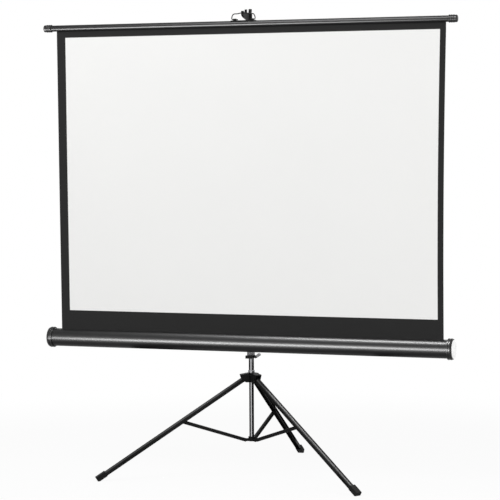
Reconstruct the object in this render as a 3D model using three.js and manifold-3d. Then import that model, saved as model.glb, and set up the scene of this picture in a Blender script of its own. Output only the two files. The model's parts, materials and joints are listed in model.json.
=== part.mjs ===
// A portable projection screen on a folding tripod, set up for use.
// Millimetres. +X is to the right of someone facing the screen, +Y is behind it, +Z is up.
// Each piece is drawn with the mast on the Z axis; the finished group is then moved along Y, so
// that the origin lies on the floor under the middle of the whole outline.
import * as THREE from "three";
import { mergeVertices } from "three/addons/utils/BufferGeometryUtils.js";
import Module from "manifold-3d";

const wasm = await Module();
wasm.setup();

// Gap between pieces that touch or run in each other
const CLEARANCE = 0.3;

// Viewing sheet
const FABRIC_WIDTH = 1550;
const FABRIC_THICKNESS = 0.5;
const VIEW_HEIGHT = 1065;
const TOP_BORDER = 25;
const BOTTOM_BORDER = 74;
const FABRIC_WELT_RADIUS = 2.5;

// Case round the roller, with the height of its axis above the collar
const CASE_HEIGHT = 120;
const CASE_SETBACK = 55;
const CASE_DIAMETER = 70;
const CASE_WALL = 1.2;
const CASE_OVERHANG = 23;
const CASE_SHIFT = -6;
const SLOT_WIDTH = 8;
const LIP_DEPTH = 7;

// Caps on the ends of the case
const CAP_LENGTH = 20;
const CAP_SOCKET = 12;
const CAP_END_WALL = 6;
const CAP_RIDGE = 5;
const CAP_RIDGE_LENGTH = 5;
const CAP_GROOVE = 2;
const CAP_GROOVE_LENGTH = 4;
const CAP_EDGE = 1;
const CAP_TAPER_LENGTH = 6;
const CAP_RIM = 2;
const DISC_EDGE = 4;
const DISC_CROWN = 4;

// Spring roller inside the case
const FABRIC_LEAD = 11;
const ROLLER_DIAMETER = 17.6;
const ROLLER_WALL = 0.9;
const ROLLER_OVERHANG = 12;
const WOUND_TURNS = 2;
const WOUND_PITCH = 0.8;
const PLUG_LENGTH = 26;
const PLUG_FLANGE = 4;
const ROLLER_PIN_RADIUS = 4;
const SPRING_WIRE_RADIUS = 0.8;
const SPRING_TURNS = 20;
const SPRING_PITCH = 16;
const SPRING_SHAFT_TAIL = 20;

// Bar along the top of the sheet
const BAR_DIAMETER = 24;
const BAR_OVERHANG = 22.5;
const BAR_WALL = 1.2;
const BAR_SLOT = 1.6;
const BAR_CAP_LENGTH = 33;
const BAR_CAP_SOCKET = 26;
const BAR_CAP_WALL = 2.6;
const BAR_CAP_RING = 1.2;
const BAR_CAP_RING_LENGTH = 4;
const BAR_CAP_RINGS = 3;
const BAR_CAP_DOME = 3;

// Wire bail on the bar and the saddle that carries it
const BAIL_WIRE = 4;
const BAIL_WIDTH = 94;
const BAIL_SHOULDER_WIDTH = 82;
const BAIL_HEIGHT = 26;
const BAIL_RISE = 3;
const BAIL_CREST_WIDTH = 24;
const BAIL_RAMP = 11;
const BAIL_CORNER = 6;
const SADDLE_LENGTH = 100;
const SADDLE_THICKNESS = 1.5;
const SADDLE_SPAN = 100;
const LUG_LENGTH = 12;
const LUG_WIDTH = 8;
const LUG_RISE = 2.5;

// Mast, with the height of its foot above the leg pivots, and the rods in its top and its foot
const MAST_DIAMETER = 20;
const MAST_WALL = 0.7;
const MAST_FOOT = 9;
const ROD_DIAMETER = 18;
const ROD_WALL = 0.9;
const ROD_INSERTION = 510;
const BASE_ROD_INSERTION = 345;
const ROD_GAP = 9;

// Clamp at the top of the mast
const CLAMP_GRIP = 30;
const CLAMP_HEAD = 22;
const CLAMP_RADIUS = 15;
const CLAMP_CHAMFER = 2;
const CLAMP_BOSS_RADIUS = 8;
const CLAMP_BOSS_REACH = 22;

// Clamp screws: one on the mast clamp and one on the leg collar
const SCREW_RADIUS = 3;
const KNOB_LOBES = 5;
const KNOB_LOBE_DEPTH = 1.2;
const CLAMP_KNOB_RADIUS = 14;
const CLAMP_KNOB_LENGTH = 12;
const COLLAR_KNOB_RADIUS = 8.5;
const COLLAR_KNOB_LENGTH = 10;
const COLLAR_KNOB_BEARING = 150;

// Hook head on the sliding rod
const HOOK_WIDTH = 8;
const HOOK_SOCKET_WALL = 1.5;
const HOOK_SOCKET_DEPTH = 30;
const HOOK_NOSE = 12;
const HOOK_NOSE_RISE = 7;
const HOOK_HORN_BACK = 25;
const HOOK_HORN_WIDTH = 6;
const HOOK_HORN_RISE = 14.5;
const HOOK_TAB_FRONT = 3;
const HOOK_TAB_BACK = 17;
const HOOK_TAB_RISE = 18.5;
const HOOK_ARM_DEPTH = 14;
const HOOK_FILLET = 3;

// Tripod
const LEG_SIDES = ["right", "rear", "left"];
const FIRST_LEG_BEARING = -30;
const LEG_PIVOT_RADIUS = 28;
const LEG_PIVOT_HEIGHT = 377;
const FOOT_RADIUS = 608;
const LEG_WIDTH = 20;
const LEG_DEPTH = 18;
const LEG_WALL = 1.4;
const LEG_CROWN_FLAT = 2;
const LEG_PIN_RADIUS = 3;
const PIN_HEAD = 1.4;
const BOOT_WALL = 2.2;
const BOOT_CORNER = 4;
const BOOT_GRIP = 28;
const BOOT_TOE = 14;
const BOOT_HEEL_CUT = 4;

// Braces from the legs to the base hub
const BRACE_ALONG_LEG = 288;
const BRACE_DROP = 4;
const BRACE_WIDTH = 12;
const BRACE_DEPTH = 13;
const BRACE_WALL = 1.3;
const BRACE_CORNER = 3.5;
const BRACE_PIN_RADIUS = 2.5;
const BRACE_PIN_SHOULDER = 1.6;
const HUB_PIVOT_RADIUS = 26;
const HUB_PIVOT_HEIGHT = 140;
const HUB_WALL = 4;
const HUB_TOP = 12;
const HUB_FOOT = 5.5;
const HUB_FLOOR = 3;
const HUB_CHEEK = 1.4;
const HUB_CHEEK_RADIUS = 4.8;

// Collar that carries the legs, from below their pivots to above them, and the ring on it
const COLLAR_FOOT = 14;
const COLLAR_TOP = 22;
const COLLAR_WALL = 2.5;
const WING_CHEEK = 4;
const WING_REACH = 44;
const WING_ROOF = 4.5;
const WING_FALL = 6;
const WING_TOE = 36;
const WING_TOE_RISE = 5;
const WING_FOOT = 22;
const RING_HEIGHT = 10;
const RING_WALL = 2;

// Carriage that holds the case on the mast
const FLANGE_GAP = 17;
const FLANGE_HEIGHT = 11;
const FLANGE_RADIUS = 14.5;
const FLANGE_WIDTH = 27;
const FLANGE_REACH = 33;
const FLANGE_CORNER = 4;
const SLEEVE_RISE = 11;
const SLEEVE_WALL = 3.2;
const SLEEVE_WIDTH = 24;
const SLEEVE_CORNER = 2;
const PIVOT_BOSS_RADIUS = 12;
const PIVOT_BOLT_RADIUS = 4;
const PIVOT_BOLT_WALL = 1.2;
const CRADLE_LENGTH = 150;
const CRADLE_THICKNESS = 2.5;
const CRADLE_SPAN = 96;
const CRADLE_BOSS = 1.2;

// Release lever on the carriage
const LEVER_PIVOT_REACH = 18.5;
const LEVER_PIVOT_RISE = 3;
const LEVER_PIN_RADIUS = 1.8;
const LEVER_LENGTH = 22;
const LEVER_SLOPE = 38;
const LEVER_EYE = 4.2;
const LEVER_TIP = 5.5;
const LEVER_WIDTH = 11;
const LEVER_EAR = 2.5;

// Smoothness of round shapes
const CASE_SIDES = 32;
const TUBE_SIDES = 24;
const PIN_SIDES = 12;
const ARC_STEPS = 6;
const CORNER_STEPS = 3;
const CROWN_STEPS = 6;
const WIRE_SIDES = 7;
const BAIL_STEPS = 60;
const SPRING_STEPS = 7;
const SPRING_SIDES = 4;
const WOUND_STEPS = 24;
const MERGE_DISTANCE = 1e-3;

// Colours and finishes
const GLOSS_BLACK = { color: 0x17181a, roughness: 0.3, metalness: 0.25 };
const SATIN_BLACK = { color: 0x1b1b1c, roughness: 0.5, metalness: 0.2 };
const PLASTIC_BLACK = { color: 0x161616, roughness: 0.55, metalness: 0 };
const RUBBER_BLACK = { color: 0x101010, roughness: 0.85, metalness: 0 };
const DARK_STEEL = { color: 0x4a4b4d, roughness: 0.32, metalness: 0.8 };
const BRIGHT_STEEL = { color: 0xb9babc, roughness: 0.28, metalness: 0.9 };
const PALE_PLASTIC = { color: 0xeeeeec, roughness: 0.4, metalness: 0 };
const SCREEN_WHITE = { color: 0xf2f2f0, roughness: 0.95, metalness: 0 };

// Places that follow from the sizes
const collarFoot = LEG_PIVOT_HEIGHT - COLLAR_FOOT;
const collarTop = LEG_PIVOT_HEIGHT + COLLAR_TOP;
const collarKnobZ = LEG_PIVOT_HEIGHT;
const mastFoot = LEG_PIVOT_HEIGHT + MAST_FOOT;
const mastTop = mastFoot + BASE_ROD_INSERTION + ROD_GAP + ROD_INSERTION;
const caseRadius = CASE_DIAMETER / 2;
const caseAxisY = -CASE_SETBACK;
const caseAxisZ = collarTop + CASE_HEIGHT;
const carriageFoot = caseAxisZ - caseRadius - FLANGE_GAP - FLANGE_HEIGHT;
const sleeveTop = caseAxisZ + caseRadius + SLEEVE_RISE;
const fabricY = caseAxisY - FABRIC_LEAD;
const capInnerX = FABRIC_WIDTH / 2 + CASE_OVERHANG;
const caseHalfLength = capInnerX + CAP_SOCKET - CLEARANCE;
const rollerHalfLength = FABRIC_WIDTH / 2 + ROLLER_OVERHANG;
const barUnderside = caseAxisZ + caseRadius + BOTTOM_BORDER + VIEW_HEIGHT + TOP_BORDER;
const barRadius = BAR_DIAMETER / 2;
const barAxisZ = barUnderside + barRadius;
const barCapInnerX = FABRIC_WIDTH / 2 + BAR_OVERHANG;
const saddleTop = barAxisZ + barRadius + CLEARANCE + SADDLE_THICKNESS;
const bailPivotZ = saddleTop + LUG_RISE;
const bailShoulderZ = barAxisZ + barRadius + BAIL_HEIGHT;
const bailCrestZ = bailShoulderZ + BAIL_RISE;
const mastRadius = MAST_DIAMETER / 2;
const rodRadius = ROD_DIAMETER / 2;
const rodTop = bailCrestZ;
const legRise = LEG_PIVOT_HEIGHT;
const legRun = FOOT_RADIUS - LEG_PIVOT_RADIUS;
const legTilt = Math.atan2(legRise, legRun);
const legFrame = new THREE.Matrix4()
  .makeTranslation(LEG_PIVOT_RADIUS, 0, LEG_PIVOT_HEIGHT)
  .multiply(new THREE.Matrix4().makeRotationY(legTilt));
const bracePivot = new THREE.Vector3(BRACE_ALONG_LEG, 0, -BRACE_DROP).applyMatrix4(legFrame);
const boreRadius = rodRadius + CLEARANCE;

// Solids: joining and cutting closed meshes
function toSolid(geometry) {
  const bare = geometry.index ? geometry.toNonIndexed() : geometry.clone();
  bare.deleteAttribute("normal");
  bare.deleteAttribute("uv");
  const merged = mergeVertices(bare, MERGE_DISTANCE);
  const corners = merged.index.array;
  const triVerts = [];
  for (let i = 0; i < corners.length; i += 3) {
    const [a, b, c] = corners.slice(i, i + 3);
    if (a !== b && b !== c && c !== a) triVerts.push(a, b, c);
  }
  const vertProperties = new Float32Array(merged.attributes.position.array);
  return new wasm.Manifold(
    new wasm.Mesh({ numProp: 3, vertProperties, triVerts: new Uint32Array(triVerts) }),
  );
}

function toGeometry(solid) {
  const mesh = solid.getMesh();
  return new THREE.BufferGeometry()
    .setAttribute("position", new THREE.BufferAttribute(mesh.vertProperties, 3))
    .setIndex(new THREE.BufferAttribute(mesh.triVerts, 1));
}

function join(first, ...others) {
  return toGeometry(others.reduce((sum, other) => sum.add(toSolid(other)), toSolid(first)));
}

function cut(first, ...others) {
  return toGeometry(others.reduce((rest, other) => rest.subtract(toSolid(other)), toSolid(first)));
}

function common(first, second) {
  return toGeometry(toSolid(first).intersect(toSolid(second)));
}

// Outlines and the solids swept from them
function polygon(points) {
  return new THREE.Shape(points.map(([x, y]) => new THREE.Vector2(x, y)));
}

function roundedPolygon(points, radius) {
  const shape = new THREE.Shape();
  points.forEach((point, i) => {
    const corner = new THREE.Vector2(...point);
    const before = new THREE.Vector2(...points.at(i - 1)).sub(corner);
    const after = new THREE.Vector2(...points[(i + 1) % points.length]).sub(corner);
    const entry = corner.clone().add(before.setLength(Math.min(radius, before.length() / 2)));
    const exit = corner.clone().add(after.setLength(Math.min(radius, after.length() / 2)));
    if (i === 0) shape.moveTo(entry.x, entry.y);
    else shape.lineTo(entry.x, entry.y);
    shape.quadraticCurveTo(corner.x, corner.y, exit.x, exit.y);
  });
  shape.closePath();
  return shape;
}

function rectangle(width, height, radius) {
  const [x, y] = [width / 2, height / 2];
  const corners = [[-x, -y], [x, -y], [x, y], [-x, y]];
  return radius ? roundedPolygon(corners, radius) : polygon(corners);
}

// An open channel with a rounded back at the top and its mouth at the bottom
function channel(width, depth, wall, corner) {
  const [x, y, inner] = [width / 2, depth / 2, corner - wall];
  const shape = new THREE.Shape();
  shape.moveTo(-x, -y);
  shape.lineTo(-x + wall, -y);
  shape.absarc(-x + corner, y - corner, inner, Math.PI, Math.PI / 2, true);
  shape.absarc(x - corner, y - corner, inner, Math.PI / 2, 0, true);
  shape.lineTo(x - wall, -y);
  shape.lineTo(x, -y);
  shape.absarc(x - corner, y - corner, corner, 0, Math.PI / 2, false);
  shape.absarc(-x + corner, y - corner, corner, Math.PI / 2, Math.PI, false);
  shape.closePath();
  return shape;
}

// A band of a ring round the origin, its middle and its span given in degrees
function arcBand(inner, outer, middle, span) {
  const [start, end] = [middle - span / 2, middle + span / 2].map(THREE.MathUtils.degToRad);
  const shape = new THREE.Shape();
  shape.absarc(0, 0, outer, start, end, false);
  shape.absarc(0, 0, inner, end, start, true);
  shape.closePath();
  return shape;
}

function extrude(shape, depth, basis, steps = ARC_STEPS) {
  const settings = { depth, bevelEnabled: false, curveSegments: steps };
  const geometry = new THREE.ExtrudeGeometry(shape, settings);
  geometry.translate(0, 0, -depth / 2);
  return geometry.applyMatrix4(new THREE.Matrix4().makeBasis(...basis));
}

const UPWARD = 90;
const AXIS_X = new THREE.Vector3(1, 0, 0);
const AXIS_Y = new THREE.Vector3(0, 1, 0);
const AXIS_Z = new THREE.Vector3(0, 0, 1);
const BACKWARD_Y = new THREE.Vector3(0, -1, 0);

// The outline is drawn as (y, z) and swept along X, centred
const alongX = (shape, length, steps) => extrude(shape, length, [AXIS_Y, AXIS_Z, AXIS_X], steps);
// The outline is drawn as (x, z) and swept along Y, centred
const alongY = (shape, width, steps) => extrude(shape, width, [AXIS_X, AXIS_Z, BACKWARD_Y], steps);

// A closed outline of [radius, height] points turned about Z
function turned(profile, sides = TUBE_SIDES) {
  const points = [...profile, profile[0]].map(([radius, height]) => new THREE.Vector2(radius, height));
  const area = points.slice(1).reduce((sum, p, i) => sum + points[i].cross(p), 0);
  if (area < 0) points.reverse();
  const geometry = new THREE.LatheGeometry(points, sides);
  return toGeometry(toSolid(geometry.rotateX(Math.PI / 2)));
}

function tube(inner, outer, low, high, sides) {
  return turned([[inner, low], [outer, low], [outer, high], [inner, high]], sides);
}

function disc(radius, low, high, sides = PIN_SIDES) {
  return turned([[0, low], [radius, low], [radius, high], [0, high]], sides);
}

const zToX = (geometry) => geometry.rotateY(Math.PI / 2);
const zToY = (geometry) => geometry.rotateX(-Math.PI / 2);
const mirrorX = (geometry) => toGeometry(toSolid(geometry).mirror([1, 0, 0]));

function box(width, depth, height, x, y, z) {
  return new THREE.BoxGeometry(width, depth, height).translate(x, y, z);
}

function piece(name, geometry, finish) {
  const mesh = new THREE.Mesh(geometry, new THREE.MeshStandardMaterial(finish));
  mesh.name = name;
  return mesh;
}

// The direction of a leg round the mast, from +X
function legDirection(side) {
  const share = LEG_SIDES.indexOf(side) / LEG_SIDES.length;
  return THREE.MathUtils.degToRad(FIRST_LEG_BEARING) + 2 * Math.PI * share;
}

// The same solid at each leg, turned from the +X direction
function atEachLeg(geometry) {
  return LEG_SIDES.map((side) => geometry.clone().rotateZ(legDirection(side)));
}

// Mast and rods

function mastTube() {
  return piece("mast_tube", tube(mastRadius - MAST_WALL, mastRadius, mastFoot, mastTop), DARK_STEEL);
}

function baseRod() {
  const low = HUB_PIVOT_HEIGHT - HUB_FOOT + HUB_FLOOR + CLEARANCE;
  const high = mastFoot + BASE_ROD_INSERTION;
  return piece("base_rod", tube(rodRadius - ROD_WALL, rodRadius, low, high), DARK_STEEL);
}

function extensionRod() {
  const low = mastTop - ROD_INSERTION;
  return piece("extension_rod", tube(rodRadius - ROD_WALL, rodRadius, low, rodTop), DARK_STEEL);
}

function mastClamp() {
  const [low, high] = [mastTop - CLAMP_GRIP, mastTop + CLAMP_HEAD];
  const body = turned([
    [mastRadius + CLEARANCE, low],
    [CLAMP_RADIUS, low],
    [CLAMP_RADIUS, high - CLAMP_CHAMFER],
    [CLAMP_RADIUS - CLAMP_CHAMFER, high],
    [boreRadius, high],
    [boreRadius, mastTop + CLEARANCE],
    [mastRadius + CLEARANCE, mastTop + CLEARANCE],
  ]);
  const middle = mastTop + CLAMP_HEAD / 2;
  const boss = zToY(disc(CLAMP_BOSS_RADIUS, mastRadius + CLEARANCE, CLAMP_BOSS_REACH))
    .translate(0, 0, middle);
  const hole = zToY(disc(SCREW_RADIUS + CLEARANCE, 0, 2 * CLAMP_BOSS_REACH)).translate(0, 0, middle);
  const bore = disc(boreRadius, low, high, TUBE_SIDES);
  return piece("mast_clamp", cut(join(body, cut(boss, bore)), hole), PLASTIC_BLACK);
}

// A clamp screw along Z with a lobed grip, its tip at the given height
function clampScrew(tip, seat, gripRadius, gripLength) {
  const grip = new THREE.Shape();
  const corners = KNOB_LOBES * ARC_STEPS;
  for (let i = 0; i < corners; i += 1) {
    const angle = (i / corners) * 2 * Math.PI;
    const radius = gripRadius - KNOB_LOBE_DEPTH * (1 - Math.cos(KNOB_LOBES * angle));
    const [x, y] = [radius * Math.cos(angle), radius * Math.sin(angle)];
    if (i === 0) grip.moveTo(x, y);
    else grip.lineTo(x, y);
  }
  grip.closePath();
  const bevel = KNOB_LOBE_DEPTH;
  const settings = {
    depth: gripLength - 2 * bevel,
    bevelEnabled: true,
    bevelThickness: bevel,
    bevelSize: bevel,
    bevelOffset: -bevel,
    bevelSegments: 2,
  };
  const head = new THREE.ExtrudeGeometry(grip, settings).translate(0, 0, seat + bevel);
  return join(head, disc(SCREW_RADIUS, tip, seat + gripLength / 2));
}

function clampKnob() {
  const seat = CLAMP_BOSS_REACH + CLEARANCE;
  const screw = clampScrew(boreRadius, seat, CLAMP_KNOB_RADIUS, CLAMP_KNOB_LENGTH);
  const shape = zToY(screw).translate(0, 0, mastTop + CLAMP_HEAD / 2);
  return piece("mast_clamp_knob", shape, PLASTIC_BLACK);
}

// Hook head: a socket on the rod, a plate that reaches to the bail, a notch under the wire and,
// behind it, a horn and a thumb tab
function hookHead() {
  const notchFloor = bailCrestZ - BAIL_WIRE / 2 - CLEARANCE;
  const notchHalf = BAIL_WIRE / 2 + 2 * CLEARANCE;
  const armTop = bailCrestZ + HOOK_FILLET;
  const armRoot = rodTop - HOOK_SOCKET_DEPTH;
  const hornFront = fabricY + HOOK_HORN_BACK;
  const hornBack = hornFront + HOOK_HORN_WIDTH;
  const noseFront = fabricY - HOOK_NOSE - notchHalf;
  const outline = roundedPolygon(
    [
      [0, armRoot],
      [rodRadius, armTop],
      [HOOK_TAB_BACK, armTop + HOOK_FILLET],
      [HOOK_TAB_BACK, bailCrestZ + HOOK_TAB_RISE],
      [HOOK_TAB_FRONT, bailCrestZ + HOOK_TAB_RISE],
      [0, armTop],
      [hornBack, armTop],
      [hornBack, bailCrestZ + HOOK_HORN_RISE],
      [hornFront, bailCrestZ + HOOK_HORN_RISE],
      [hornFront - HOOK_FILLET, notchFloor + HOOK_FILLET],
      [fabricY + notchHalf, notchFloor],
      [fabricY - notchHalf, notchFloor],
      [fabricY - notchHalf, bailCrestZ + HOOK_NOSE_RISE],
      [noseFront, bailCrestZ + HOOK_NOSE_RISE],
      [noseFront, notchFloor - HOOK_ARM_DEPTH / 2],
      [fabricY, notchFloor - HOOK_ARM_DEPTH],
      [-rodRadius, armRoot],
    ],
    HOOK_FILLET / 2,
  );
  const socketRadius = boreRadius + HOOK_SOCKET_WALL;
  const socket = disc(socketRadius, armRoot, armTop, TUBE_SIDES);
  const bore = disc(boreRadius, armRoot - HOOK_FILLET, rodTop + CLEARANCE, TUBE_SIDES);
  const shape = cut(join(alongX(outline, HOOK_WIDTH, CORNER_STEPS), socket), bore);
  return piece("hook_head", shape, PLASTIC_BLACK);
}

// Tripod

// A channel with a half-round crown; its round end turns on the pin and its foot end is square
function legShape() {
  const half = LEG_DEPTH / 2;
  const length = bootToe() - BOOT_TOE;
  const outline = new THREE.Shape();
  outline.moveTo(length, -half);
  outline.lineTo(length, half);
  outline.absarc(0, 0, half, Math.PI / 2, (3 * Math.PI) / 2, false);
  outline.closePath();
  const crown = (LEG_WIDTH - LEG_CROWN_FLAT) / 2;
  const section = channel(LEG_WIDTH, LEG_DEPTH, LEG_WALL, crown);
  const bar = alongX(section, 2 * length, CROWN_STEPS);
  const pivotHole = new THREE.CylinderGeometry(
    LEG_PIN_RADIUS + CLEARANCE, LEG_PIN_RADIUS + CLEARANCE, 2 * LEG_WIDTH, PIN_SIDES);
  const braceHole = new THREE.CylinderGeometry(
    BRACE_PIN_RADIUS + CLEARANCE, BRACE_PIN_RADIUS + CLEARANCE, 2 * LEG_WIDTH, PIN_SIDES);
  braceHole.translate(BRACE_ALONG_LEG, 0, -BRACE_DROP);
  return cut(common(bar, alongY(outline, 2 * LEG_WIDTH)), pivotHole, braceHole).applyMatrix4(legFrame);
}

// Where the boot's toe face lies along the leg, so that its heel is cut flat by the floor
function bootToe() {
  const halfDepth = LEG_DEPTH / 2 + BOOT_WALL;
  return (legRise - halfDepth * Math.cos(legTilt) + BOOT_HEEL_CUT) / Math.sin(legTilt);
}

function footShape() {
  const toe = bootToe();
  const legEnd = toe - BOOT_TOE;
  const length = BOOT_GRIP + BOOT_TOE;
  const skin = rectangle(LEG_WIDTH + 2 * BOOT_WALL, LEG_DEPTH + 2 * BOOT_WALL, BOOT_CORNER);
  const outside = alongX(skin, length, CORNER_STEPS).translate(toe - length / 2, 0, 0);
  const pocket = box(
    2 * BOOT_GRIP, LEG_WIDTH + 2 * CLEARANCE, LEG_DEPTH + 2 * CLEARANCE,
    legEnd + CLEARANCE - BOOT_GRIP, 0, 0);
  const floor = box(FOOT_RADIUS, FOOT_RADIUS, FOOT_RADIUS, FOOT_RADIUS, 0, -FOOT_RADIUS / 2);
  return cut(cut(outside, pocket).applyMatrix4(legFrame), floor);
}

// A rivet across the leg, drawn about Y
function rivet(radius, headRadius, halfGrip, shoulder) {
  const tip = halfGrip + CLEARANCE + PIN_HEAD;
  const half = [
    [0, tip],
    [headRadius, tip - PIN_HEAD / 2],
    [headRadius, halfGrip + CLEARANCE],
    [radius, halfGrip + CLEARANCE],
    ...shoulder,
  ];
  const mirrored = half.map(([r, height]) => [r, -height]).reverse();
  return zToY(turned([...half, ...mirrored], PIN_SIDES));
}

function legPinShape() {
  const halfGrip = LEG_WIDTH / 2 + CLEARANCE + WING_CHEEK;
  return rivet(LEG_PIN_RADIUS, 2 * LEG_PIN_RADIUS, halfGrip, [])
    .translate(LEG_PIVOT_RADIUS, 0, LEG_PIVOT_HEIGHT);
}

// The brace pin's shoulders keep the narrow brace in the middle of the leg
function bracePinShape() {
  const outer = LEG_WIDTH / 2 - LEG_WALL - CLEARANCE;
  const inner = BRACE_WIDTH / 2 + CLEARANCE;
  const collar = BRACE_PIN_RADIUS + BRACE_PIN_SHOULDER;
  const shoulder = [
    [BRACE_PIN_RADIUS, outer],
    [collar, outer],
    [collar, inner],
    [BRACE_PIN_RADIUS, inner],
  ];
  return rivet(BRACE_PIN_RADIUS, 2 * BRACE_PIN_RADIUS, LEG_WIDTH / 2, shoulder)
    .translate(bracePivot.x, 0, bracePivot.z);
}

function braceShape() {
  const hubPivot = new THREE.Vector3(HUB_PIVOT_RADIUS, 0, HUB_PIVOT_HEIGHT);
  const length = bracePivot.distanceTo(hubPivot);
  const rise = Math.asin((bracePivot.z - hubPivot.z) / length);
  const half = BRACE_DEPTH / 2;
  const outline = new THREE.Shape();
  outline.absarc(length, 0, half, -Math.PI / 2, Math.PI / 2, false);
  outline.absarc(0, 0, half, Math.PI / 2, (3 * Math.PI) / 2, false);
  outline.closePath();
  const section = channel(BRACE_WIDTH, BRACE_DEPTH, BRACE_WALL, BRACE_CORNER);
  const bar = alongX(section, 3 * length, CORNER_STEPS);
  const hole = new THREE.CylinderGeometry(
    BRACE_PIN_RADIUS + CLEARANCE, BRACE_PIN_RADIUS + CLEARANCE, 2 * BRACE_WIDTH, PIN_SIDES);
  hole.translate(length, 0, 0);
  return cut(common(bar, alongY(outline, 2 * BRACE_WIDTH)), hole)
    .rotateY(-rise)
    .translate(HUB_PIVOT_RADIUS, 0, HUB_PIVOT_HEIGHT);
}

// One leg with its foot, pin and brace, turned to its direction
function legGroup(side) {
  const group = new THREE.Group();
  group.rotation.z = legDirection(side);
  group.add(
    piece(`leg_${side}`, legShape(), SATIN_BLACK),
    piece(`foot_${side}`, footShape(), RUBBER_BLACK),
    piece(`leg_pin_${side}`, legPinShape(), BRIGHT_STEEL),
    piece(`brace_${side}`, braceShape(), SATIN_BLACK),
    piece(`brace_pin_${side}`, bracePinShape(), BRIGHT_STEEL),
  );
  return group;
}

// The hub closes the foot of the base rod; each pair of cheeks takes the end of a brace
function baseHub() {
  const [low, high] = [HUB_PIVOT_HEIGHT - HUB_FOOT, HUB_PIVOT_HEIGHT + HUB_TOP];
  const outer = boreRadius + HUB_WALL;
  const cup = disc(outer, low, high, TUBE_SIDES);
  const outline = new THREE.Shape();
  outline.moveTo(0, HUB_PIVOT_HEIGHT + HUB_CHEEK_RADIUS);
  outline.lineTo(0, HUB_PIVOT_HEIGHT - HUB_CHEEK_RADIUS);
  outline.absarc(HUB_PIVOT_RADIUS, HUB_PIVOT_HEIGHT, HUB_CHEEK_RADIUS, -Math.PI / 2, Math.PI / 2, false);
  outline.closePath();
  const inside = BRACE_WIDTH / 2 + CLEARANCE;
  const middle = inside + HUB_CHEEK / 2;
  const cheek = alongY(outline, HUB_CHEEK);
  const pair = join(cheek.clone().translate(0, middle, 0), cheek.translate(0, -middle, 0));
  const bore = disc(boreRadius, low + HUB_FLOOR, high + HUB_TOP, TUBE_SIDES);
  return piece("base_hub", cut(join(cup, ...atEachLeg(pair)), bore), SATIN_BLACK);
}

// The collar: a sleeve on the foot of the mast with a roofed wing over the end of each leg
function legCollar() {
  const outer = mastRadius + CLEARANCE + COLLAR_WALL;
  const sleeve = disc(outer, collarFoot, collarTop, TUBE_SIDES);
  const wing = roundedPolygon(
    [
      [mastRadius, collarFoot],
      [WING_FOOT, collarFoot],
      [WING_TOE, collarFoot + WING_TOE_RISE],
      [WING_REACH, collarTop - WING_FALL],
      [mastRadius, collarTop],
    ],
    CAP_EDGE,
  );
  const gap = LEG_WIDTH / 2 + CLEARANCE;
  const block = alongY(wing, 2 * (gap + WING_CHEEK), CORNER_STEPS);
  const roofZ = collarTop - WING_FALL - WING_ROOF;
  const tunnelFrom = outer - CLEARANCE;
  const tunnel = box(
    2 * WING_REACH, 2 * gap, collarTop,
    tunnelFrom + WING_REACH, 0, roofZ - collarTop / 2);
  const pinHole = new THREE.CylinderGeometry(
    LEG_PIN_RADIUS + CLEARANCE, LEG_PIN_RADIUS + CLEARANCE, 4 * LEG_WIDTH, PIN_SIDES);
  pinHole.translate(LEG_PIVOT_RADIUS, 0, LEG_PIVOT_HEIGHT);
  const boss = zToX(disc(2 * SCREW_RADIUS, mastRadius, collarKnobSeat() - CLEARANCE))
    .translate(0, 0, collarKnobZ);
  const screwHole = zToX(disc(SCREW_RADIUS + CLEARANCE, 0, WING_REACH))
    .translate(0, 0, collarKnobZ);
  const bearing = THREE.MathUtils.degToRad(COLLAR_KNOB_BEARING);
  const tunnels = atEachLeg(join(tunnel, pinHole));
  const body = cut(join(...atEachLeg(block)), ...tunnels);
  const rodBore = disc(boreRadius, 0, mastTop, TUBE_SIDES);
  const mastBore = disc(mastRadius + CLEARANCE, mastFoot - CLEARANCE, mastTop, TUBE_SIDES);
  const whole = join(body, sleeve, boss.rotateZ(bearing));
  return piece("leg_collar", cut(whole, rodBore, mastBore, screwHole.rotateZ(bearing)), SATIN_BLACK);
}

// The grip of the collar's screw stands clear of the two wings beside it
function collarKnobSeat() {
  const wingHalfWidth = LEG_WIDTH / 2 + CLEARANCE + WING_CHEEK;
  const corner = wingHalfWidth / Math.sin(Math.PI / 3);
  return corner + COLLAR_KNOB_RADIUS / Math.tan(Math.PI / 3) + 2 * CLEARANCE;
}

function collarKnob() {
  const screw = clampScrew(boreRadius, collarKnobSeat(), COLLAR_KNOB_RADIUS, COLLAR_KNOB_LENGTH);
  const shape = zToX(screw)
    .translate(0, 0, collarKnobZ)
    .rotateZ(THREE.MathUtils.degToRad(COLLAR_KNOB_BEARING));
  return piece("collar_knob", shape, PLASTIC_BLACK);
}

function collarRing() {
  const low = collarTop + CLEARANCE;
  const outer = mastRadius + CLEARANCE + RING_WALL;
  const shape = turned([
    [mastRadius + CLEARANCE, low],
    [outer, low],
    [outer, low + RING_HEIGHT - CAP_EDGE],
    [outer - CAP_EDGE, low + RING_HEIGHT],
    [mastRadius + CLEARANCE, low + RING_HEIGHT],
  ]);
  return piece("collar_ring", shape, DARK_STEEL);
}

// Carriage

const sleeveRadius = mastRadius + CLEARANCE + SLEEVE_WALL;
const cradleInner = caseRadius + CLEARANCE;
const cradleOuter = cradleInner + CRADLE_THICKNESS;
const cradleBossY = caseAxisY + cradleOuter + CRADLE_BOSS;
const leverX = LEVER_PIVOT_REACH;
const leverZ = carriageFoot + LEVER_PIVOT_RISE;

// A round body on the mast with a block in front of it, given its height
function mastBlock(radius, width, reach, corner, low, high) {
  const half = width / 2;
  const front = roundedPolygon([[-half, 0], [-half, -reach], [half, -reach], [half, 0]], corner);
  const block = extrude(front, high - low, [AXIS_X, AXIS_Y, AXIS_Z], CORNER_STEPS)
    .translate(0, 0, (low + high) / 2);
  return join(disc(radius, low, high, TUBE_SIDES), block);
}

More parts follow.
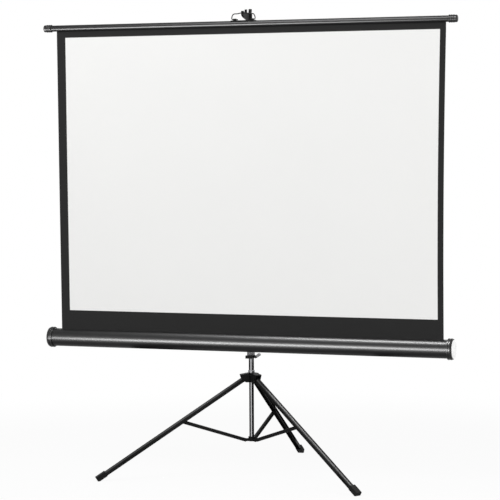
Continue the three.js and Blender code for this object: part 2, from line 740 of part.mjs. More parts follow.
function carriageSleeve() {
  const low = carriageFoot + FLANGE_HEIGHT + CLEARANCE;
  const reach = -cradleBossY - CLEARANCE;
  const body = mastBlock(sleeveRadius, SLEEVE_WIDTH, reach, SLEEVE_CORNER, low, sleeveTop);
  const bore = disc(mastRadius + CLEARANCE, 0, mastTop, TUBE_SIDES);
  const bolt = zToY(disc(PIVOT_BOLT_RADIUS + CLEARANCE, -2 * reach, -pivotBoltRoot()))
    .translate(0, 0, caseAxisZ);
  return piece("carriage_sleeve", cut(body, bore, bolt), DARK_STEEL);
}

// How far in front of the mast's axis the pivot bolt's hole ends
function pivotBoltRoot() {
  return mastRadius + CLEARANCE + PIVOT_BOLT_WALL;
}

function carriageFlange() {
  const high = carriageFoot + FLANGE_HEIGHT;
  const ring = mastBlock(FLANGE_RADIUS, FLANGE_WIDTH, FLANGE_REACH, FLANGE_CORNER, carriageFoot, high);
  const ear = new THREE.Shape();
  ear.moveTo(mastRadius, carriageFoot);
  ear.absarc(leverX, leverZ, LEVER_EYE, -Math.PI / 2, Math.PI / 2, false);
  ear.lineTo(mastRadius, high);
  ear.closePath();
  const outside = LEVER_WIDTH / 2 + CLEARANCE + LEVER_EAR;
  const block = alongY(ear, 2 * outside);
  const gap = LEVER_WIDTH / 2 + CLEARANCE;
  const mouth = box(
    2 * LEVER_LENGTH, 2 * gap, LEVER_LENGTH,
    leverX - LEVER_EYE + LEVER_LENGTH, 0, leverZ);
  const pinHole = new THREE.CylinderGeometry(
    LEVER_PIN_RADIUS + CLEARANCE, LEVER_PIN_RADIUS + CLEARANCE, 4 * outside, PIN_SIDES);
  pinHole.translate(leverX, 0, leverZ);
  const bore = disc(mastRadius + CLEARANCE, 0, mastTop, TUBE_SIDES);
  return piece("carriage_flange", cut(join(ring, block), mouth, pinHole, bore), PLASTIC_BLACK);
}

// The lever: an eye on its pin and a blade that widens towards a rounded tip
function releaseLever() {
  const blade = new THREE.Shape();
  blade.absarc(0, 0, LEVER_EYE - CLEARANCE, Math.PI / 2, (3 * Math.PI) / 2, false);
  blade.absarc(LEVER_LENGTH - LEVER_TIP, 0, LEVER_TIP, -Math.PI / 2, Math.PI / 2, false);
  blade.closePath();
  const hole = new THREE.CylinderGeometry(
    LEVER_PIN_RADIUS + CLEARANCE, LEVER_PIN_RADIUS + CLEARANCE, 2 * LEVER_WIDTH, PIN_SIDES);
  const shape = cut(alongY(blade, LEVER_WIDTH), hole)
    .rotateY(-THREE.MathUtils.degToRad(LEVER_SLOPE))
    .translate(leverX, 0, leverZ);
  return piece("release_lever", shape, BRIGHT_STEEL);
}

function leverPin() {
  const half = LEVER_WIDTH / 2 + CLEARANCE + LEVER_EAR;
  const shape = zToY(disc(LEVER_PIN_RADIUS, -half, half)).translate(leverX, 0, leverZ);
  return piece("lever_pin", shape, BRIGHT_STEEL);
}

// The cradle: a curved plate on the back of the case with a boss for the pivot bolt
function caseCradle() {
  const band = alongX(arcBand(cradleInner, cradleOuter, 0, CRADLE_SPAN), CRADLE_LENGTH, CASE_SIDES / 2)
    .translate(0, caseAxisY, caseAxisZ);
  const root = caseAxisY + cradleInner + CRADLE_THICKNESS / 2;
  const boss = zToY(disc(PIVOT_BOSS_RADIUS, root, cradleBossY, TUBE_SIDES)).translate(0, 0, caseAxisZ);
  const inside = zToX(disc(cradleInner, -CRADLE_LENGTH, CRADLE_LENGTH, CASE_SIDES))
    .translate(0, caseAxisY, caseAxisZ);
  const hole = zToY(disc(PIVOT_BOLT_RADIUS + CLEARANCE, -CASE_SETBACK, 0)).translate(0, 0, caseAxisZ);
  return piece("case_cradle", cut(join(band, cut(boss, inside)), hole), SATIN_BLACK);
}

function pivotBolt() {
  const low = caseAxisY + cradleInner;
  const high = -pivotBoltRoot() - CLEARANCE;
  const shape = zToY(disc(PIVOT_BOLT_RADIUS, low, high)).translate(0, 0, caseAxisZ);
  return piece("pivot_bolt", shape, BRIGHT_STEEL);
}

// Case and roller

// The case tube: a ring left open at the slot, with both edges turned in beside the sheet
function caseTube() {
  const [outer, inner] = [caseRadius, caseRadius - CASE_WALL];
  const front = -FABRIC_LEAD - SLOT_WIDTH / 2;
  const back = -FABRIC_LEAD + SLOT_WIDTH / 2;
  const height = (radius, y) => Math.sqrt(radius * radius - y * y);
  const angle = (radius, y) => Math.atan2(height(radius, y), y);
  const lipFoot = height(outer, front) - LIP_DEPTH;
  const shape = new THREE.Shape();
  shape.moveTo(front, lipFoot);
  shape.lineTo(front, height(outer, front));
  shape.absarc(0, 0, outer, angle(outer, front), angle(outer, back) + 2 * Math.PI, false);
  shape.lineTo(back, lipFoot);
  shape.lineTo(back + CASE_WALL, lipFoot);
  const innerStart = angle(inner, back + CASE_WALL) + 2 * Math.PI;
  const innerEnd = angle(inner, front - CASE_WALL);
  shape.absarc(0, 0, inner, innerStart, innerEnd, true);
  shape.lineTo(front - CASE_WALL, lipFoot);
  shape.closePath();
  const tubeShape = alongX(shape, 2 * caseHalfLength, CASE_SIDES).translate(0, caseAxisY, caseAxisZ);
  return piece("case_tube", tubeShape, GLOSS_BLACK);
}

// Turned about X, with heights measured out from the middle of the screen
function endPiece(profile, sides) {
  return zToX(turned(profile, sides)).translate(0, caseAxisY, caseAxisZ);
}

function bothEnds(name, shape, finish) {
  return [piece(`${name}_right`, shape, finish), piece(`${name}_left`, mirrorX(shape), finish)];
}

function endCaps() {
  const socket = caseRadius + CLEARANCE;
  const ridge = caseRadius + CAP_RIDGE;
  const groove = ridge - CAP_GROOVE;
  const hole = ROLLER_PIN_RADIUS + CLEARANCE;
  const second = CAP_RIDGE_LENGTH + CAP_GROOVE_LENGTH;
  const wall = CAP_SOCKET + CAP_END_WALL;
  const profile = [
    [hole, CAP_SOCKET],
    [socket, CAP_SOCKET],
    [socket, 0],
    [ridge - CAP_EDGE, 0],
    [ridge, CAP_EDGE],
    [ridge, CAP_RIDGE_LENGTH],
    [groove, CAP_RIDGE_LENGTH + CAP_EDGE],
    [groove, second],
    [ridge, second + CAP_EDGE],
    [ridge, CAP_LENGTH - CAP_TAPER_LENGTH],
    [socket + CAP_RIM, CAP_LENGTH],
    [socket, CAP_LENGTH],
    [socket, wall],
    [hole, wall],
  ].map(([radius, along]) => [radius, capInnerX + along]);
  return bothEnds("end_cap", endPiece(profile, CASE_SIDES), GLOSS_BLACK);
}

function endDiscs() {
  const low = capInnerX + CAP_SOCKET + CAP_END_WALL + CLEARANCE;
  const edge = low + DISC_EDGE;
  const profile = [[0, low], [caseRadius, low]];
  for (let i = 0; i <= ARC_STEPS; i += 1) {
    const radius = caseRadius * (1 - i / ARC_STEPS);
    profile.push([radius, edge + DISC_CROWN * (1 - (radius / caseRadius) ** 2)]);
  }
  return bothEnds("end_disc", endPiece(profile, CASE_SIDES), PALE_PLASTIC);
}

const rollerRadius = ROLLER_DIAMETER / 2;
const rollerBore = rollerRadius - ROLLER_WALL;

function rollerTube() {
  const shape = endPiece([
    [rollerBore, -rollerHalfLength],
    [rollerRadius, -rollerHalfLength],
    [rollerRadius, rollerHalfLength],
    [rollerBore, rollerHalfLength],
  ]);
  return piece("roller_tube", shape, DARK_STEEL);
}

// The right plug carries the pin that turns in the right cap; the left one turns on the spring shaft
function rollerPlugs() {
  const outer = rollerBore - CLEARANCE;
  const low = rollerHalfLength - PLUG_LENGTH;
  const face = rollerHalfLength + CLEARANCE;
  const pinEnd = capInnerX + CAP_SOCKET + CAP_END_WALL - CAP_EDGE;
  const rim = [
    [outer, low],
    [outer, face],
    [rollerRadius, face],
    [rollerRadius, face + PLUG_FLANGE],
  ];
  const right = endPiece([
    [0, low],
    ...rim,
    [ROLLER_PIN_RADIUS, face + PLUG_FLANGE],
    [ROLLER_PIN_RADIUS, pinEnd],
    [0, pinEnd],
  ]);
  const bore = ROLLER_PIN_RADIUS + CLEARANCE;
  const left = endPiece([[bore, low], ...rim, [bore, face + PLUG_FLANGE]]);
  return [
    piece("roller_plug_right", right, PLASTIC_BLACK),
    piece("roller_plug_left", mirrorX(left), PLASTIC_BLACK),
  ];
}

const springLength = SPRING_TURNS * SPRING_PITCH;
const springStart = -(rollerHalfLength - PLUG_LENGTH) + SPRING_WIRE_RADIUS + CLEARANCE;

function springShaft() {
  const low = -(capInnerX + CAP_SOCKET + CAP_END_WALL - CAP_EDGE);
  const high = springStart + springLength + SPRING_SHAFT_TAIL;
  const shape = zToX(disc(ROLLER_PIN_RADIUS, low, high)).translate(0, caseAxisY, caseAxisZ);
  return piece("spring_shaft", shape, BRIGHT_STEEL);
}

class Helix extends THREE.Curve {
  getPoint(t) {
    const angle = 2 * Math.PI * SPRING_TURNS * t;
    const radius = rollerBore - CLEARANCE - SPRING_WIRE_RADIUS;
    return new THREE.Vector3(
      springStart + springLength * t,
      caseAxisY + radius * Math.cos(angle),
      caseAxisZ + radius * Math.sin(angle),
    );
  }
}

// A round section with its corners on the circle
function wireSection(radius, sides) {
  const corners = [];
  for (let i = 0; i < sides; i += 1) {
    const angle = (i / sides) * 2 * Math.PI;
    corners.push([radius * Math.cos(angle), radius * Math.sin(angle)]);
  }
  return polygon(corners);
}

function rollerSpring() {
  const settings = { steps: SPRING_TURNS * SPRING_STEPS, bevelEnabled: false, extrudePath: new Helix() };
  const shape = new THREE.ExtrudeGeometry(wireSection(SPRING_WIRE_RADIUS, SPRING_SIDES), settings);
  return piece("roller_spring", shape, BRIGHT_STEEL);
}

// What is left on the roller when the sheet is out: a flat spiral that ends at the sheet's plane
function fabricRoll() {
  const steps = WOUND_TURNS * WOUND_STEPS;
  const side = (offset) => {
    const points = [];
    for (let i = 0; i <= steps; i += 1) {
      const turn = (i / steps) * WOUND_TURNS;
      const angle = Math.PI + 2 * Math.PI * turn;
      const radius = FABRIC_LEAD - WOUND_PITCH * turn + offset;
      points.push([radius * Math.cos(angle), radius * Math.sin(angle)]);
    }
    return points;
  };
  const outline = [...side(FABRIC_THICKNESS / 2), ...side(-FABRIC_THICKNESS / 2).reverse()];
  const shape = alongX(polygon(outline), FABRIC_WIDTH).translate(0, caseAxisY, caseAxisZ);
  return piece("fabric_roll", shape, SCREEN_WHITE);
}

// The sheet runs from the roller up through the slot; its welt lies in the bore of the bar
function screenFabric() {
  const half = FABRIC_THICKNESS / 2;
  const neck = Math.asin(half / FABRIC_WELT_RADIUS);
  const shape = new THREE.Shape();
  shape.moveTo(-half, caseAxisZ + CLEARANCE);
  shape.lineTo(half, caseAxisZ + CLEARANCE);
  shape.absarc(0, weltZ(), FABRIC_WELT_RADIUS, -Math.PI / 2 + neck, (3 * Math.PI) / 2 - neck, false);
  shape.closePath();
  const sheet = alongX(shape, FABRIC_WIDTH, PIN_SIDES).translate(0, fabricY, 0);
  return piece("screen_fabric", sheet, SCREEN_WHITE);
}

// The welt rests on the floor of the bar's bore
function weltZ() {
  return barUnderside + BAR_WALL + FABRIC_WELT_RADIUS + 2 * CLEARANCE;
}

// Bar and bail

function topBar() {
  const half = Math.asin(BAR_SLOT / BAR_DIAMETER);
  const innerHalf = Math.asin(BAR_SLOT / 2 / (barRadius - BAR_WALL));
  const down = -Math.PI / 2;
  const shape = new THREE.Shape();
  shape.absarc(0, 0, barRadius, down + half, down + 2 * Math.PI - half, false);
  shape.absarc(0, 0, barRadius - BAR_WALL, down + 2 * Math.PI - innerHalf, down + innerHalf, true);
  shape.closePath();
  const length = 2 * (barCapInnerX + BAR_CAP_SOCKET - CLEARANCE);
  const bar = alongX(shape, length, TUBE_SIDES).translate(0, fabricY, barAxisZ);
  return piece("top_bar", bar, GLOSS_BLACK);
}

// Ringed cap with a low dome on its end
function barCaps() {
  const socket = barRadius + CLEARANCE;
  const skin = socket + BAR_CAP_WALL - BAR_CAP_RING;
  const profile = [[0, BAR_CAP_SOCKET], [socket, BAR_CAP_SOCKET], [socket, 0]];
  for (let i = 0; i < BAR_CAP_RINGS; i += 1) {
    const start = 2 * i * BAR_CAP_RING_LENGTH;
    profile.push([skin, start]);
    profile.push([skin + BAR_CAP_RING, start + BAR_CAP_RING]);
    profile.push([skin + BAR_CAP_RING, start + BAR_CAP_RING_LENGTH]);
    profile.push([skin, start + BAR_CAP_RING_LENGTH + BAR_CAP_RING]);
  }
  profile.push([skin, BAR_CAP_LENGTH - BAR_CAP_DOME]);
  profile.push([skin - BAR_CAP_DOME, BAR_CAP_LENGTH - BAR_CAP_DOME / 4]);
  profile.push([0, BAR_CAP_LENGTH]);
  const placed = profile.map(([radius, along]) => [radius, barCapInnerX + along]);
  const shape = zToX(turned(placed)).translate(0, fabricY, barAxisZ);
  return bothEnds("bar_cap", shape, GLOSS_BLACK);
}

const lugX = BAIL_WIDTH / 2 - BAIL_CORNER - CLEARANCE - LUG_LENGTH / 2;

// A curved plate on the bar with an ear at each end for the bail
function bailSaddle() {
  const inner = barRadius + CLEARANCE;
  const plate = arcBand(inner, inner + SADDLE_THICKNESS, UPWARD, SADDLE_SPAN);
  const band = alongX(plate, SADDLE_LENGTH)
    .translate(0, fabricY, barAxisZ);
  const ear = new THREE.Shape();
  ear.moveTo(-LUG_WIDTH / 2, inner);
  ear.lineTo(LUG_WIDTH / 2, inner);
  ear.absarc(0, bailPivotZ - barAxisZ, LUG_WIDTH / 2, 0, Math.PI, false);
  ear.closePath();
  const lug = alongX(ear, LUG_LENGTH).translate(0, fabricY, barAxisZ);
  const bar = zToX(disc(inner, -SADDLE_LENGTH, SADDLE_LENGTH, 2 * TUBE_SIDES))
    .translate(0, fabricY, barAxisZ);
  const hole = zToX(disc(BAIL_WIRE / 2 + CLEARANCE, -SADDLE_LENGTH, SADDLE_LENGTH))
    .translate(0, fabricY, bailPivotZ);
  const whole = join(band, lug.clone().translate(lugX, 0, 0), lug.translate(-lugX, 0, 0));
  return piece("bail_saddle", cut(whole, bar, hole), SATIN_BLACK);
}

// The bail's route in the X-Z plane, drawn from one ear to the other with rounded bends
function bailPath() {
  const half = [
    [lugX - LUG_LENGTH, bailPivotZ],
    [BAIL_WIDTH / 2, bailPivotZ],
    [BAIL_WIDTH / 2, (bailPivotZ + bailShoulderZ) / 2],
    [BAIL_SHOULDER_WIDTH / 2, bailShoulderZ],
    [BAIL_CREST_WIDTH / 2 + BAIL_RAMP, bailShoulderZ],
    [BAIL_CREST_WIDTH / 2, bailCrestZ],
  ];
  const mirrored = half.map(([x, z]) => [-x, z]).reverse();
  const points = [...half, ...mirrored].map(([x, z]) => new THREE.Vector3(x, fabricY, z));
  const path = new THREE.CurvePath();
  let from = points[0];
  for (let i = 1; i < points.length - 1; i += 1) {
    const before = points[i - 1].clone().sub(points[i]);
    const after = points[i + 1].clone().sub(points[i]);
    const entry = points[i].clone().add(before.setLength(Math.min(BAIL_CORNER, before.length() / 2)));
    const exit = points[i].clone().add(after.setLength(Math.min(BAIL_CORNER, after.length() / 2)));
    if (from.distanceTo(entry) > MERGE_DISTANCE) path.add(new THREE.LineCurve3(from, entry));
    path.add(new THREE.QuadraticBezierCurve3(entry, points[i], exit));
    from = exit;
  }
  path.add(new THREE.LineCurve3(from, points.at(-1)));
  return path;
}

function bail() {
  const settings = { steps: BAIL_STEPS, bevelEnabled: false, extrudePath: bailPath() };
  const shape = new THREE.ExtrudeGeometry(wireSection(BAIL_WIRE / 2, WIRE_SIDES), settings);
  return piece("bail", shape, BRIGHT_STEEL);
}

// The sheet does not sit in the middle of its case: the case and roller reach further to the left
const caseGroup = new THREE.Group();
caseGroup.position.x = CASE_SHIFT;
caseGroup.add(
  caseTube(),
  ...endCaps(),
  ...endDiscs(),
  rollerTube(),
  ...rollerPlugs(),
  springShaft(),
  rollerSpring(),
);

const onMastAxis = new THREE.Group();
onMastAxis.add(
  mastTube(),
  baseRod(),
  extensionRod(),
  mastClamp(),
  clampKnob(),
  hookHead(),
  legCollar(),
  collarKnob(),
  collarRing(),
  baseHub(),
  ...LEG_SIDES.map(legGroup),
  carriageSleeve(),
  carriageFlange(),
  releaseLever(),
  leverPin(),
  caseCradle(),
  pivotBolt(),
  caseGroup,
  fabricRoll(),
  screenFabric(),
  topBar(),
  ...barCaps(),
  bailSaddle(),
  bail(),
);

const outline = new THREE.Box3().setFromObject(onMastAxis, true);
onMastAxis.position.y = -(outline.min.y + outline.max.y) / 2;

const screen = new THREE.Group();
screen.add(onMastAxis);

export default screen;
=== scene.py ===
import json
import math
from typing import NamedTuple

import bpy
from bpy.props import FloatProperty, FloatVectorProperty, IntProperty, PointerProperty
from bpy.types import Operator, Panel, PropertyGroup
from mathutils import Matrix, Vector


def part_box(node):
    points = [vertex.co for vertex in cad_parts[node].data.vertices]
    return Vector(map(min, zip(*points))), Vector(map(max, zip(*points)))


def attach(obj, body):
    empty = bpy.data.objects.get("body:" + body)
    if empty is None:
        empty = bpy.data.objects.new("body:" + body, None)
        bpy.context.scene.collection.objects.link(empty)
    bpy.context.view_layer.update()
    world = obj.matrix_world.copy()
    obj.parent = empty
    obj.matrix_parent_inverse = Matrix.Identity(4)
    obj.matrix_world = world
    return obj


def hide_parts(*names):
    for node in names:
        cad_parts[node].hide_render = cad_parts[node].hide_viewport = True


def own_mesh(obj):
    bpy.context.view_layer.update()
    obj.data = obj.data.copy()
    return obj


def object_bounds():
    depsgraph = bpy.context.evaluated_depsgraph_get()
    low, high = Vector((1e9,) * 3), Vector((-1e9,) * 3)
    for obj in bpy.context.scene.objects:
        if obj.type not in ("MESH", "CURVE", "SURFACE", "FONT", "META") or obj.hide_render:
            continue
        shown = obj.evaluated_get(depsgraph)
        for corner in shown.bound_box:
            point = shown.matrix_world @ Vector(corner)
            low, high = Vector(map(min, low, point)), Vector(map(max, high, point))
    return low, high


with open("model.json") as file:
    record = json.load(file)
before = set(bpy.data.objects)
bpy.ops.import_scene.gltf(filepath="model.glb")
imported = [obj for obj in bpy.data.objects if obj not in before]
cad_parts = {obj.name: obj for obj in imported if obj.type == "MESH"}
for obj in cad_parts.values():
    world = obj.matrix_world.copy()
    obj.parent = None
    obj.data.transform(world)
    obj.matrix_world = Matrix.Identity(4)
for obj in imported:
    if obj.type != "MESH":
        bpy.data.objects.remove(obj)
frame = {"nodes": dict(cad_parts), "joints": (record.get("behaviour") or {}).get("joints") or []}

bl_info = {
    "name": "Tripod Projection Screen",
    "version": (1, 0, 0),
    "blender": (4, 5, 0),
    "location": "3D View > Sidebar > Screen",
    "description": "Hangs the sheet, finishes the metal and sets the studio of a projection screen",
    "category": "Object",
}

CAD_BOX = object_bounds()
NODES = frame["nodes"]
LEGS = ("left", "right", "rear")
ENDS = ("left", "right")
CASE_PIECES = ("case_tube", "end_cap_left", "end_cap_right")
BAR_PIECES = ("top_bar", "bar_cap_left", "bar_cap_right")
LEG_PIECES = tuple(f"{part}_{leg}" for part in ("leg", "brace", "foot") for leg in LEGS)

SHEET_LOW, SHEET_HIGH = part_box("screen_fabric")
BAR_LOW, BAR_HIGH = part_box("top_bar")
CASE_LOW, CASE_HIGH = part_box("case_tube")
ROLL_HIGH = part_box("fabric_roll")[1]
SHEET_Y = (SHEET_LOW.y + SHEET_HIGH.y) / 2
BAR_AXIS = (BAR_LOW + BAR_HIGH) / 2
CASE_AXIS = (CASE_LOW + CASE_HIGH) / 2
MAST_AXIS = sum(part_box("mast_tube"), Vector()) / 2
MIDDLE = (CAD_BOX[0] + CAD_BOX[1]) / 2

# Cleaning and softening of the CAD meshes, in metres and radians.
WELD = 1e-5
FLAT_ANGLE = math.radians(1.0)
EDGE_ANGLE = math.radians(32.0)
EDGE_SEGMENTS = 2
BAR_EDGE = 0.0002
FINE_EDGE = 0.0003
CAP_EDGE = 0.0004
CAST_EDGE = 0.0005
MOULD_EDGE = 0.0006
BOOT_EDGE = 0.0008

# Grain per metre along each axis: coarse along the run of a pattern and fine across it.
ALONG_X = (3.0, 900.0, 900.0)
ALONG_Z = (900.0, 900.0, 3.0)
SHEET_WEAVE = (900.0, 160.0, 1.0)
BACK_WEAVE = (700.0, 1.0, 700.0)

# The slack waves of the sheet: share of the ripple, radians per metre across and up, and start.
SHEET_WAVES = ((1.0, 7.3, 2.1, 0.0), (0.6, 15.7, -3.4, 1.0))
# Share of the drift that the sheet loses halfway up, and the soft edge of its print.
DRIFT_DIP = 0.5
PRINT_EDGE = 0.0006
# Steps round the welt and round each wound turn, and faces along the wound rest.
WELT_STEPS = 20
ROLL_STEPS = 48
ROLL_COLUMNS = 8

# Sockets of the colour Mix node, which has several of each name.
MIX_FACTOR, MIX_FIRST, MIX_SECOND, MIX_COLOUR = 0, 6, 7, 2

WHITE = (1.0, 1.0, 1.0, 1.0)
FELT_DARK, FELT_LIGHT = (0.002, 0.002, 0.002, 1.0), (0.006, 0.006, 0.006, 1.0)
SENSOR_MM = 36.0
CLIP_END = 100.0
FLOOR_SIDES = 64
CARD_STEPS = 24
# Start and end of each dark card round the mast, in degrees.
CARDS = {"right_card": (-62.0, 100.0), "left_card": (-250.0, -112.0)}


class Lamp(NamedTuple):
    """A lamp of the studio: the setting with its power, its size, place and aim.

    One with shows_in shows only as a reflection in those nodes; one with gloss off shows in none.
    """

    power: str
    size: tuple
    place: tuple
    aim: Vector
    shows_in: tuple = ()
    gloss: bool = True


LAMPS = {
    "key_lamp": Lamp("key_power", (2.6, 2.6), (-3.2, -4.6, 3.2), MIDDLE),
    "fill_lamp": Lamp("fill_power", (2.4, 2.4), (5.0, -1.9, 2.3), MIDDLE, gloss=False),
    "top_lamp": Lamp("top_power", (2.0, 1.4), (-0.9, -2.3, 3.6), CASE_AXIS),
    "low_strip": Lamp("low_strip_power", (2.6, 0.4), (-0.5, -2.5, 0.22), CASE_AXIS, CASE_PIECES),
    "high_strip": Lamp("high_strip_power", (1.3, 0.45), (-0.15, -0.75, 3.4), CASE_AXIS,
                       CASE_PIECES + LEG_PIECES),
    "bar_strip": Lamp("bar_strip_power", (1.6, 1.7), (-0.1, -1.5, 3.3), BAR_AXIS, BAR_PIECES),
    "bar_low_strip": Lamp("bar_low_strip_power", (1.9, 0.4), (-1.25, -2.5, 0.22), BAR_AXIS,
                          BAR_PIECES),
    "leg_strip": Lamp("leg_strip_power", (1.2, 0.8), (-1.25, -1.6, 2.8), MAST_AXIS, LEG_PIECES),
}


class SheetSettings(PropertyGroup):
    """Sizes and colours of the viewing sheet."""

    left_border: FloatProperty(
        name="Left border", description="Width of the black border on the left",
        default=0.036, min=0.0, unit="LENGTH")
    right_border: FloatProperty(
        name="Right border", description="Width of the black border on the right",
        default=0.0225, min=0.0, unit="LENGTH")
    top_border: FloatProperty(
        name="Top border", description="Height of the black border under the bar",
        default=0.025, min=0.0, unit="LENGTH")
    image_foot: FloatProperty(
        name="Foot of the viewing area", description="Height of its lower edge above the floor",
        default=0.628, min=0.0, unit="LENGTH")
    drift: FloatProperty(
        name="Drift", description="How far to the right of the middle the cloth hangs",
        default=0.005, unit="LENGTH")
    waist: FloatProperty(
        name="Waist", description="How far each side edge draws in below the bar under the pull",
        default=0.009, min=0.0, unit="LENGTH")
    flare: FloatProperty(
        name="Flare", description="How far each side edge stands out at the bar",
        default=0.0067, min=0.0, unit="LENGTH")
    thickness: FloatProperty(
        name="Thickness", description="Thickness of the coated cloth",
        default=0.0005, min=0.0002, unit="LENGTH")
    ripple: FloatProperty(
        name="Ripple", description="Depth of the slack waves in the cloth",
        default=0.0006, min=0.0, unit="LENGTH")
    lead_off: FloatProperty(
        name="Lead off", description="How far in front of its wound layers the sheet starts",
        default=0.0006, min=0.0, unit="LENGTH")
    columns: IntProperty(
        name="Columns", description="Faces across the sheet", default=62, min=4)
    rows: IntProperty(
        name="Rows", description="Faces up the sheet", default=48, min=4)
    turns: FloatProperty(
        name="Turns left on the roller", description="Layers that stay wound when the sheet is out",
        default=2.0, min=1.0)
    pitch: FloatProperty(
        name="Layer pitch", description="Distance between wound layers",
        default=0.0008, min=0.0005, unit="LENGTH")
    white: FloatVectorProperty(
        name="Viewing white", description="Colour of the viewing area",
        default=(0.87, 0.87, 0.86), subtype="COLOR", min=0.0, max=1.0)
    black: FloatVectorProperty(
        name="Border black", description="Colour of the printed border",
        default=(0.020, 0.020, 0.020), subtype="COLOR", min=0.0, max=1.0)


class FinishSettings(PropertyGroup):
    """Colours of the metal, plastic and rubber."""

    case_paint: FloatVectorProperty(
        name="Case paint", description="Gloss paint on the case and bar",
        default=(0.005, 0.005, 0.0054), subtype="COLOR", min=0.0, max=1.0)
    leg_paint: FloatVectorProperty(
        name="Leg paint", description="Satin paint on legs, braces and brackets",
        default=(0.006, 0.006, 0.006), subtype="COLOR", min=0.0, max=1.0)
    moulding: FloatVectorProperty(
        name="Moulding", description="Black plastic of caps, hook, knobs and flange",
        default=(0.007, 0.007, 0.007), subtype="COLOR", min=0.0, max=1.0)
    boot: FloatVectorProperty(
        name="Boots", description="Rubber on the feet",
        default=(0.006, 0.006, 0.006), subtype="COLOR", min=0.0, max=1.0)
    dark_steel: FloatVectorProperty(
        name="Dark steel", description="Plated sleeve, lever and roller",
        default=(0.30, 0.30, 0.305), subtype="COLOR", min=0.0, max=1.0)
    bright_steel: FloatVectorProperty(
        name="Bright steel", description="Plated tubes of the mast, its ring and the spring",
        default=(0.50, 0.50, 0.51), subtype="COLOR", min=0.0, max=1.0)
    black_steel: FloatVectorProperty(
        name="Black steel", description="Blackened wire of the bail",
        default=(0.015, 0.015, 0.0155), subtype="COLOR", min=0.0, max=1.0)
    pale_plastic: FloatVectorProperty(
        name="Pale plastic", description="Discs in the ends of the case",
        default=(0.94, 0.94, 0.93), subtype="COLOR", min=0.0, max=1.0)


class StudioSettings(PropertyGroup):
    """Camera, lamps and floor."""

    place: FloatVectorProperty(
        name="Camera place", description="Where the camera stands",
        default=(2.657, -7.4666, 1.313), subtype="TRANSLATION", unit="LENGTH")
    yaw: FloatProperty(
        name="Yaw", description="Turn of the camera about the vertical",
        default=math.radians(19.97), subtype="ANGLE")
    pitch: FloatProperty(
        name="Pitch", description="How far the camera looks down",
        default=math.radians(3.25), subtype="ANGLE")
    roll: FloatProperty(
        name="Roll", description="Turn of the camera about its own axis",
        default=math.radians(-0.33), subtype="ANGLE")
    lens: FloatProperty(
        name="Lens", description="Focal length on a 36 mm sensor, in millimetres",
        default=146.6, min=10.0)
    room_light: FloatProperty(
        name="Room light", description="Strength of the even light from all round",
        default=0.5, min=0.0)
    key_power: FloatProperty(
        name="Key lamp", description="Power of the large lamp at the front left",
        default=60.0, min=0.0, unit="POWER")
    fill_power: FloatProperty(
        name="Fill lamp", description="Power of the large lamp at the front right",
        default=105.0, min=0.0, unit="POWER")
    top_power: FloatProperty(
        name="Top lamp", description="Power of the large lamp above the front of the screen",
        default=32.0, min=0.0, unit="POWER")
    low_strip_power: FloatProperty(
        name="Low strip", description="Power of the strip near the floor in front",
        default=755.0, min=0.0, unit="POWER")
    high_strip_power: FloatProperty(
        name="High strip", description="Power of the strip above the screen",
        default=480.0, min=0.0, unit="POWER")
    bar_strip_power: FloatProperty(
        name="Bar strip", description="Power of the strip above the top bar",
        default=235.0, min=0.0, unit="POWER")
    bar_low_strip_power: FloatProperty(
        name="Low bar strip", description="Power of the strip below and in front of the top bar",
        default=705.0, min=0.0, unit="POWER")
    leg_strip_power: FloatProperty(
        name="Leg strip", description="Power of the strip above the left leg",
        default=95.0, min=0.0, unit="POWER")
    card_radius: FloatProperty(
        name="Card radius", description="Distance of the dark cards from the mast",
        default=0.5, min=0.1, unit="LENGTH")
    card_height: FloatProperty(
        name="Card height", description="Height of the dark cards",
        default=0.42, min=0.1, unit="LENGTH")
    floor_radius: FloatProperty(
        name="Floor radius", description="Radius of the floor",
        default=14.0, min=2.0, unit="LENGTH")
    floor_white: FloatVectorProperty(
        name="Floor", description="Colour of the floor",
        default=(0.86, 0.86, 0.86), subtype="COLOR", min=0.0, max=1.0)
    floor_lift: FloatProperty(
        name="Floor lift", description="Share of plain white in the floor that shows by the feet",
        default=0.92, min=0.0, max=1.0, subtype="FACTOR")
    floor_fade: FloatProperty(
        name="Floor fade", description="Distance from the mast at which the floor is plain white",
        default=2.6, min=0.5, unit="LENGTH")


class Term:
    """A shader socket that can stand in a sum or a product."""

    def __init__(self, paint, socket):
        self.paint = paint
        self.socket = socket

    def other(self, name):
        """Another output of the same node."""
        return Term(self.paint, self.socket.node.outputs[name])

    def math(self, operation, *values):
        return self.paint.node("ShaderNodeMath", {"operation": operation}, dict(enumerate(values)))

    def __add__(self, value):
        return self.math("ADD", self, value)

    def __radd__(self, value):
        return self.math("ADD", value, self)

    def __mul__(self, value):
        return self.math("MULTIPLY", self, value)

    def __rmul__(self, value):
        return self.math("MULTIPLY", value, self)

    def at_least(self, value):
        return self.math("MAXIMUM", self, value)


